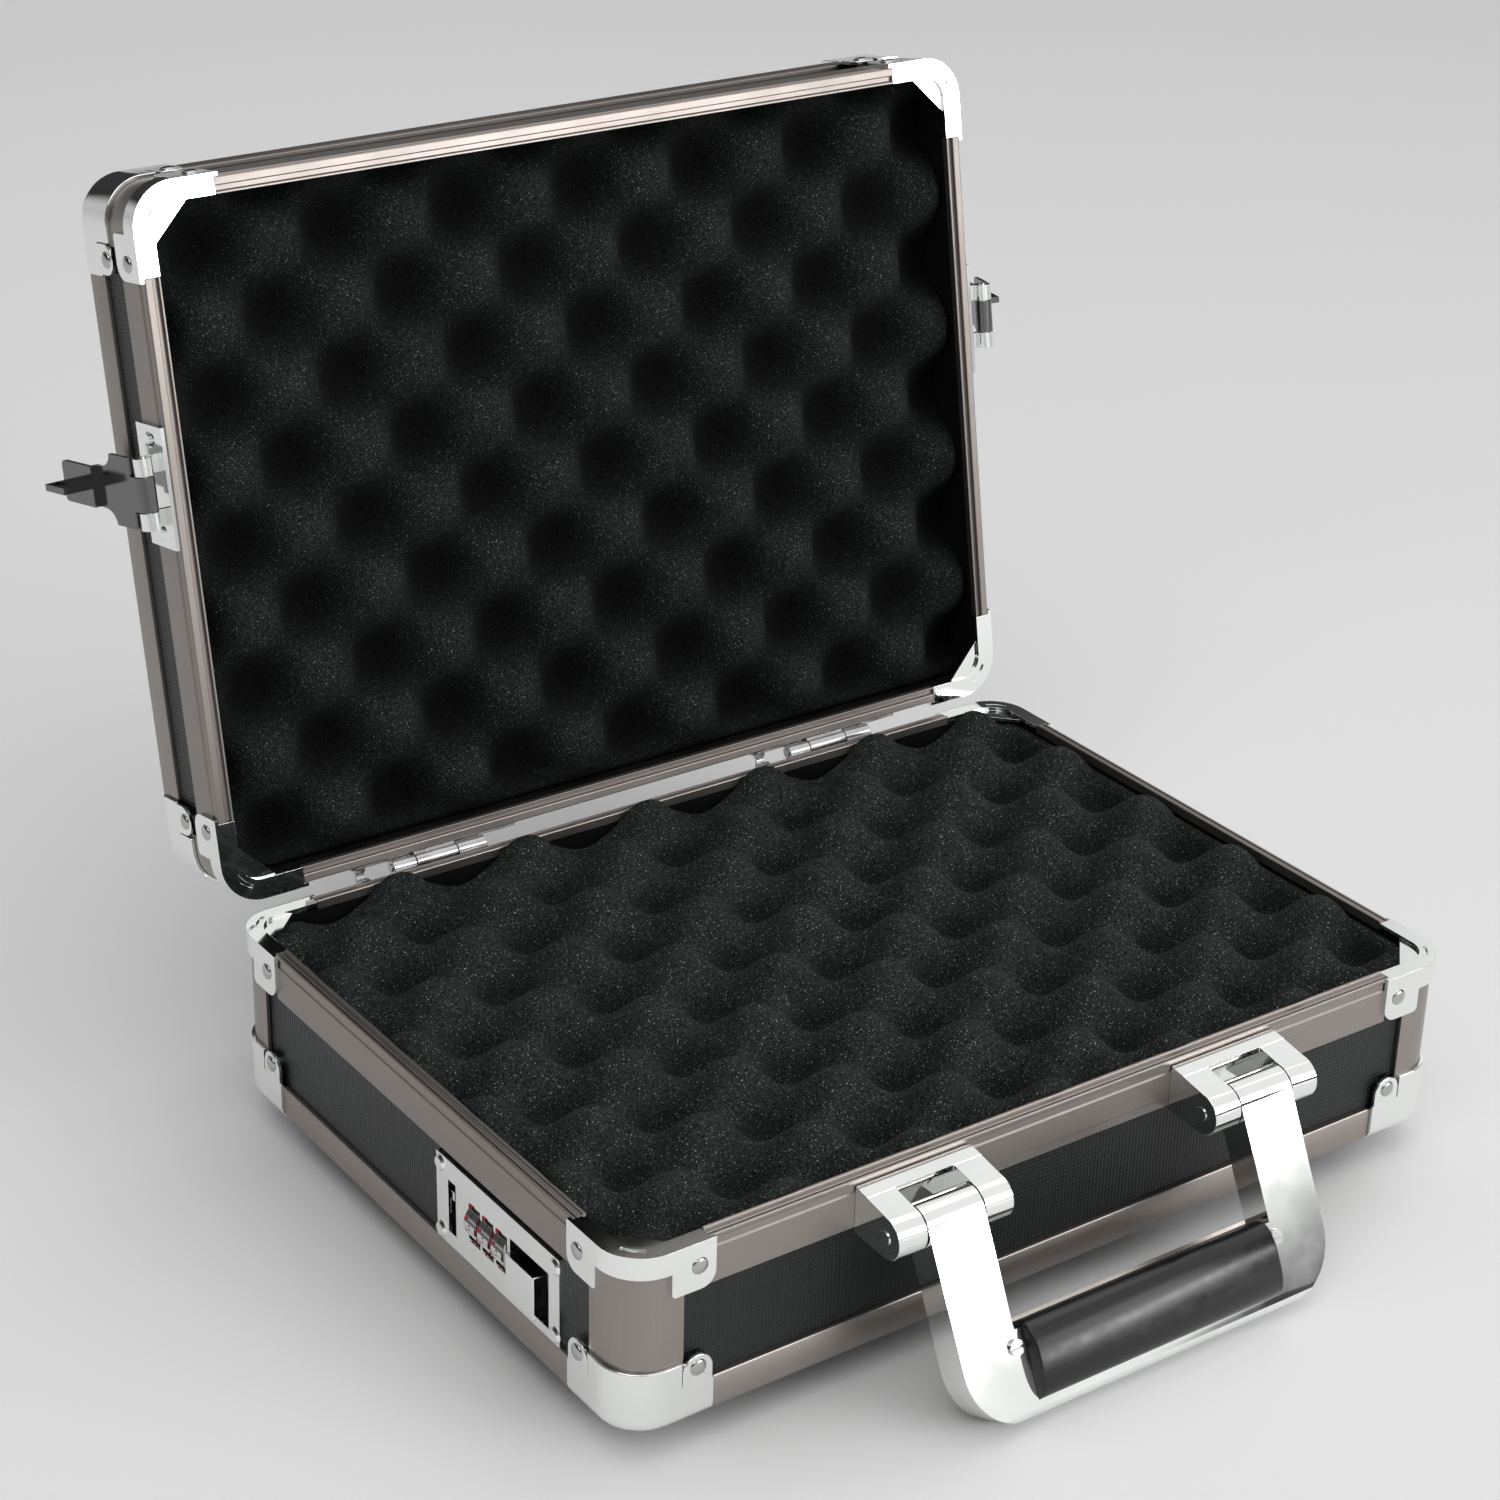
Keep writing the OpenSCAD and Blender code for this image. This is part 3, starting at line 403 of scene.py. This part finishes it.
def foam_sheet(name, box, mid, swell, narrow, wave, lift, shades, place, recess=None):
    """Egg-crate foam block in the closed tray's coordinates, moved by place to the row frame.

    box is half_x, y0, y1 and the flat back's height. mid and swell are the bumps' mean height and
    half their rise. wave(x, y) runs from -1 in a pit to 1 on a peak, and narrow above 1 makes the
    pits narrower. lift(x, y) is how far the pits fill up near a wall. shades is painted shade: the
    pit's and the peak's brightness, the two wave values between which they change, and how much
    painted shade darkens the foam beside the walls.
    recess is y0, y1, top and depth of a pocket in both side walls; only the base foam has one.
    """
    half_x, y0, y1, floor = box
    nx = round(2 * half_x / FOAM_STEP)
    ny = round((y1 - y0) / FOAM_STEP)
    mesh = bmesh.new()
    shade = mesh.verts.layers.float.new("shade")
    grid = []
    for j in range(ny + 1):
        row = []
        for i in range(nx + 1):
            x = -half_x + 2 * half_x * i / nx
            y = y0 + (y1 - y0) * j / ny
            crown = 1 - 2 * ((1 - wave(x, y)) / 2) ** narrow
            crown = max(crown, crown + lift(x, y) * (0.3 - crown))
            edge_x = min(x + half_x, half_x - x)
            edge_y = min(y - y0, y1 - y)
            edge = min(edge_x, edge_y)
            height = mid + swell * crown - EDGE_ROLL * math.exp(-edge / EDGE_ROLL_REACH)
            if recess and edge_x + edge_y < GUSSET_SPAN:
                height = min(height, UNDER_GUSSET)
            x, y = rounded(x, y, half_x, y0, y1)
            vert = mesh.verts.new(place @ Vector((x, y, height)))
            # Painted shade: darker in the pits, paler on the peaks, darker again beside the walls.
            tone = shades[0] + (shades[1] - shades[0]) * smooth(*shades[2:4], crown)
            vert[shade] = tone * (1 - shades[4] * smooth(WALL_SHADE, 0, edge))
            row.append(vert)
        grid.append(row)
    for j in range(ny):
        for i in range(nx):
            mesh.faces.new((grid[j][i], grid[j][i + 1], grid[j + 1][i + 1], grid[j + 1][i]))
    rim = (grid[0] + [row[nx] for row in grid[1:]] + grid[ny][nx - 1::-1]
           + [row[0] for row in grid[ny - 1:0:-1]])
    back = place.inverted()
    flats = [back @ vert.co for vert in rim]
    levels = [(floor, 0.0)]
    if recess:
        levels = [(recess[2], 0.0), (recess[2], recess[3]), (floor, recess[3])]
    count = len(rim)
    upper = rim
    for level, depth in levels:
        lower = []
        for flat in flats:
            inside = recess and abs(flat.x) > half_x - depth and recess[0] < flat.y < recess[1]
            x = math.copysign(half_x - depth, flat.x) if inside else flat.x
            lower.append(mesh.verts.new(place @ Vector((x, flat.y, level))))
            lower[-1][shade] = shades[0]
        for k in range(count):
            mesh.faces.new((upper[(k + 1) % count], upper[k], lower[k], lower[(k + 1) % count]))
        upper = lower
    mesh.faces.new(list(reversed(upper)))
    bmesh.ops.recalc_face_normals(mesh, faces=mesh.faces)
    return finished(name, mesh, "foam")


def finished(name, mesh, material, flat_above=180):
    """Makes an object of a bmesh, smooth except where faces meet at more than flat_above degrees."""
    data = bpy.data.meshes.new(name)
    mesh.to_mesh(data)
    mesh.free()
    for polygon in data.polygons:
        polygon.use_smooth = True
    if flat_above < 180:
        data.set_sharp_from_angle(angle=math.radians(flat_above))
    made = bpy.data.objects.new(name, data)
    bpy.context.scene.collection.objects.link(made)
    data.materials.append(MATERIALS[material])
    return made


def lid_turn():
    """Turns the closed lid's coordinates into the open lid's, about the hinge axis."""
    pivot = Vector(joint("lid_hinge")["pos_m"])
    return Matrix.Translation(pivot) @ Matrix.Rotation(-LID_TILT, 4, "X") @ Matrix.Translation(-pivot)


def checker(x, y, rows, pitch_x, phase_x, square=1.0):
    """Checkerboard wave; square below 1 gives each bump flatter sides and a squarer plan."""
    wave = math.cos(math.pi * (x - phase_x) / pitch_x) * math.cos(math.pi * rows(y))
    return math.copysign(abs(wave) ** square, wave)


def base_rows(y):
    """Rows counted from the middle row: they crowd a little towards the front wall."""
    along = (y + 4.5 * MM) / (20.2 * MM)
    return (math.sqrt(1 + 0.0376 * along) - 1) / 0.0188


def lid_rows(y):
    return (y + 63 * MM) / (22 * MM)


def wall_lift(distance, reach, end):
    """Rises from 0 at reach from a wall to 1 at end from it."""
    return smooth(reach * MM, end * MM, distance)


def add_foams():
    low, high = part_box("base_foam")
    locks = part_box("lock_housings")
    base = foam_sheet(
        "base_foam_sheet", (high.x, low.y, high.y, low.z), 49.8 * MM, 8.3 * MM, 1.12,
        lambda x, y: checker(x, y, base_rows, 22.5 * MM, 19 * MM),
        lambda x, y: max(0.55 * wall_lift(high.y - y, 8, 1), wall_lift(high.x - x, 5, 0.5),
                         0.7 * wall_lift(min(x + high.x, y - low.y), 5, 0.5)),
        # Painted shade for the base foam: pits at 0.55, peaks at 1.12, 0.12 lost beside the walls.
        (0.55, 1.12, -0.8, 0.0, 0.12), Matrix.Identity(4),
        (locks[0].y - 0.6 * MM, locks[1].y + 0.6 * MM, locks[1].z + 0.5 * MM, 8.4 * MM))
    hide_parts("base_foam")
    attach(base, "base")
    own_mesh(base)
    rim = Vector(joint("lid_hinge")["pos_m"]).z + 0.15 * MM
    ceiling = rim + 34.5 * MM
    turn = lid_turn()
    flip = Matrix.Diagonal((1, 1, -1, 1))
    lid = foam_sheet(
        "lid_foam_sheet", (high.x, low.y, high.y, -ceiling), -(rim + 11 * MM), 7.2 * MM, 1.0,
        lambda x, y: checker(x, y, lid_rows, 21.5 * MM, 7 * MM, 0.85),
        lambda x, y: 0.85 * wall_lift(high.y - y, 8, 1),
        # Painted shade for the lid foam: far darker than the base's, with 0.6 lost beside the walls.
        (0.07, 0.86, -0.95, 1.0, 0.6), turn @ flip)
    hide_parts("lid_foam")
    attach(lid, "lid")


# ---------- handle grip ----------

def add_grip():
    """Moulded half-round sleeve over the handle's lower bar, in the tilted handle's coordinates."""
    hinge = joint("handle_pivot")
    tilt = math.radians(-26.5)
    place = Matrix.Translation(Vector(hinge["pos_m"])) @ Matrix.Rotation(tilt, 4, "X")
    back, face, middle = 0.9 * MM, -10.6 * MM, -43.4 * MM
    half_length = 42.9 * MM
    half_height = 10.7 * MM
    mesh = bmesh.new()
    steps = 40
    # Distance from each end, and how far the section shrinks there, both in mm
    ends = [(0, 0.6), (0.25, 0.15), (0.8, 0)]
    sections = ([(-half_length + from_end * MM, inset) for from_end, inset in ends]
                + [(half_length - from_end * MM, inset) for from_end, inset in reversed(ends)])
    rings = []
    for x, inset in sections:
        ring = []
        for k in range(steps):
            turn = math.tau * k / steps
            cos, sin = math.cos(turn), math.sin(turn)
            thick = (back - face) / 2 - inset * MM
            out = (face + back) / 2 + thick * math.copysign(abs(cos) ** 0.75, cos)
            up = middle + (half_height - inset * MM) * math.copysign(abs(sin) ** 0.8, sin)
            ring.append(mesh.verts.new(place @ Vector((x, out, up))))
        rings.append(ring)
    for one, two in zip(rings, rings[1:]):
        for k in range(steps):
            mesh.faces.new((one[k], one[(k + 1) % steps], two[(k + 1) % steps], two[k]))
    mesh.faces.new(rings[0])
    mesh.faces.new(list(reversed(rings[-1])))
    bmesh.ops.recalc_face_normals(mesh, faces=mesh.faces)
    grip = finished("handle_grip_sleeve", mesh, "grip", 50)
    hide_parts("handle_grip")
    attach(grip, "handle")


# ---------- dials ----------

NUMERAL_SIZE = 2.7 * MM
BAND_STEPS = 48


def digit_mesh(text):
    """A numeral as a thin raised mesh, centred on its own origin."""
    curve = bpy.data.curves.new("numeral", "FONT")
    curve.body = text
    curve.size = NUMERAL_SIZE
    curve.extrude = 0.05 * MM
    curve.align_x = "CENTER"
    curve.align_y = "CENTER"
    curve.resolution_u = 3
    holder = bpy.data.objects.new("numeral", curve)
    bpy.context.scene.collection.objects.link(holder)
    bpy.context.view_layer.update()
    mesh = bmesh.new()
    made = holder.evaluated_get(bpy.context.evaluated_depsgraph_get()).to_mesh()
    mesh.from_mesh(made)
    bpy.data.objects.remove(holder)
    bpy.data.curves.remove(curve)
    return mesh


def add_dial_marks():
    """Numerals round each dial, and a red band on its rear edge."""
    numerals = [digit_mesh(str(k)) for k in range(10)]
    for side, mirror in (("left", 1), ("right", -1)):
        for number in (1, 2, 3):
            spin = joint(f"dial_{side}_{number}_spin")
            centre = Vector(spin["pos_m"])
            low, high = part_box(f"lock_{side}_dial_{number}")
            centre.y = (low.y + high.y) / 2
            radius = (high.z - low.z) / 2
            marks = bmesh.new()
            for k, numeral in enumerate(numerals):
                upright = Matrix(((0, 0, -mirror), (-mirror, 0, 0), (0, 1, 0))).to_4x4()
                turn = Matrix.Rotation(math.radians(36 * k) * mirror, 4, "Y")
                outward = Matrix.Translation((-mirror * (radius - 0.02 * MM), 0, 0))
                place = Matrix.Translation(centre) @ turn @ outward @ upright
                copy = numeral.copy()
                copy.transform(place)
                spare = bpy.data.meshes.new("spare")
                copy.to_mesh(spare)
                copy.free()
                marks.from_mesh(spare)
                bpy.data.meshes.remove(spare)
            piece = finished(f"dial_{side}_{number}_numerals", marks, "ink", 30)
            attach(piece, f"dial_{side}_{number}")
            band = bmesh.new()
            rear = high.y
            inner, outer = radius - 1.2 * MM, radius - 0.1 * MM
            start, end = rear - 0.5 * MM, rear + 0.3 * MM
            rings = []
            for y, r in [(start, inner), (start, outer), (end, outer), (end, inner)]:
                turns = [math.tau * k / BAND_STEPS for k in range(BAND_STEPS)]
                rings.append([band.verts.new((centre.x + r * math.cos(turn), y,
                                              centre.z + r * math.sin(turn))) for turn in turns])
            for one, two in zip(rings, rings[1:] + rings[:1]):
                for k in range(BAND_STEPS):
                    after = (k + 1) % BAND_STEPS
                    band.faces.new((one[k], one[after], two[after], two[k]))
            bmesh.ops.recalc_face_normals(band, faces=band.faces)
            piece = finished(f"dial_{side}_{number}_band", band, "red", 30)
            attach(piece, f"dial_{side}_{number}")


# ---------- floor and light ----------

def add_floor():
    size = 6.0
    data = bpy.data.meshes.new("floor")
    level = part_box("feet")[0].z
    corners = [(-size, -size, level), (size, -size, level), (size, size, level), (-size, size, level)]
    data.from_pydata(corners, [], [(0, 1, 2, 3)])
    floor = bpy.data.objects.new("floor", data)
    bpy.context.scene.collection.objects.link(floor)
    shader = Shader("pale_floor", Roughness=0.9)
    shader.bsdf.inputs["Specular IOR Level"].default_value = 0.1
    shader.colour(shader.ramp(shader.noise(3, 2), [(0.3, grey(0.865)), (0.7, grey(0.875))]))
    data.materials.append(shader.material)


def add_light(name, place, target, size, power):
    """Rectangular area light at place, turned towards target."""
    data = bpy.data.lights.new(name, "AREA")
    data.shape = "RECTANGLE"
    data.size, data.size_y = size
    data.energy = power
    lamp = bpy.data.objects.new(name, data)
    bpy.context.scene.collection.objects.link(lamp)
    lamp.location = place
    lamp.rotation_euler = (Vector(target) - Vector(place)).to_track_quat("-Z", "Y").to_euler()


# Directions of the dark gaps, and the cosines where each is fully dark and where it ends
GAPS = [
    ((-1.0, 0.35, 0.25), 0.95, 0.35),
    ((-0.5, -0.75, 0.35), 0.97, 0.93),
    ((1.0, -0.35, 0.15), 0.95, 0.90),
    ((0.3, 1.0, 0.2), 0.9, 0.8),
    ((-0.2, -0.2, 1.0), 0.985, 0.96),
    ((0.63, -0.775, 0.06), 0.9988, 0.997),
]
GAP_LEVEL = 0.04
WORLD_STRENGTH = 0.86


def add_world():
    """A bright tent with a few dark gaps, which polished metal picks up as dark accents."""
    world = bpy.data.worlds.new("studio")
    bpy.context.scene.world = world
    world.use_nodes = True
    tree = world.node_tree
    back = tree.nodes["Background"]
    place = tree.nodes.new("ShaderNodeTexCoord")

    def gap(direction, inner, outer):
        dot = tree.nodes.new("ShaderNodeVectorMath")
        dot.operation = "DOT_PRODUCT"
        tree.links.new(place.outputs["Generated"], dot.inputs[0])
        dot.inputs[1].default_value = Vector(direction).normalized()
        fade = tree.nodes.new("ShaderNodeMapRange")
        fade.interpolation_type = "SMOOTHSTEP"
        tree.links.new(dot.outputs["Value"], fade.inputs["Value"])
        fade.inputs["From Min"].default_value = outer
        fade.inputs["From Max"].default_value = inner
        fade.inputs["To Min"].default_value = 1.0
        fade.inputs["To Max"].default_value = GAP_LEVEL
        return fade.outputs["Result"]

    level = None
    for direction, inner, outer in GAPS:
        one = gap(direction, inner, outer)
        if level is None:
            level = one
            continue
        both = tree.nodes.new("ShaderNodeMath")
        both.operation = "MULTIPLY"
        tree.links.new(level, both.inputs[0])
        tree.links.new(one, both.inputs[1])
        level = both.outputs["Value"]
    tree.links.new(level, back.inputs["Color"])
    back.inputs["Strength"].default_value = WORLD_STRENGTH


bpy.context.scene.view_settings.view_transform = "Standard"
add_camera()
add_floor()
add_world()
add_light("key", (-0.9, -0.5, 1.6), (0, 0, 0.05), (1.2, 1.2), 6)
add_light("top", (0.3, 0.2, 1.8), (0, 0, 0.0), (1.6, 1.6), 5)
add_light("strip", (0.80, -1.28, 0.30), (0, -0.13, 0.02), (1.0, 0.12), 4.0)
add_light("front", (0.9, -1.6, 0.7), (0, -0.1, 0.05), (1.0, 0.7), 4)

LONG_RAILS = ["base_front_rail", "base_back_rail", "lid_front_rail", "lid_back_rail"]
SHORT_RAILS = ["base_left_rail", "base_right_rail", "lid_left_rail", "lid_right_rail"]
for node in frame["nodes"]:
    tray = "lid_" if node.startswith("lid_") else ""
    if node in LONG_RAILS or node.endswith("trims"):
        dress(node, "frame_x")
    elif node in SHORT_RAILS:
        dress(node, tray + "frame_y")
    elif node.endswith("corner_posts"):
        dress(node, tray + "frame_z")
    elif node.endswith("panel"):
        dress(node, tray + "laminate")
    elif node.endswith("lining"):
        dress(node, "fleece")
    elif node.endswith("foam"):
        dress(node, "foam")
    elif "_dial_" in node:
        dress(node, "dial")
    elif node.endswith("rivets") or node.endswith("screws"):
        dress(node, "rivet")
    elif node.endswith("tongue"):
        dress(node, "tongue")
    elif node == "handle_grip":
        dress(node, "grip")
    elif node == "feet":
        dress(node, "rubber")
    elif node in ("lock_housings", "lock_spindles", "lock_springs") or node.startswith("hinge"):
        dress(node, "zinc")
    else:
        dress(node, "chrome")
add_foams()
add_grip()
add_dial_marks()

# Bevel width in mm, by the end of the node's name
BEVELS = {
    "_rail": 0.25, "rim_clamps": 0.5, "ball_corners": 0.3, "handle_brackets": 0.45,
    "handle_frame": 1.2, "_plate": 0.3, "slider": 0.3, "hasp_plates": 0.3, "tongue": 0.3,
    "leaves": 0.2,
}
for node in frame["nodes"]:
    width = next((w for end, w in BEVELS.items() if node.endswith(end)), 0)
    soften(node, width * MM)
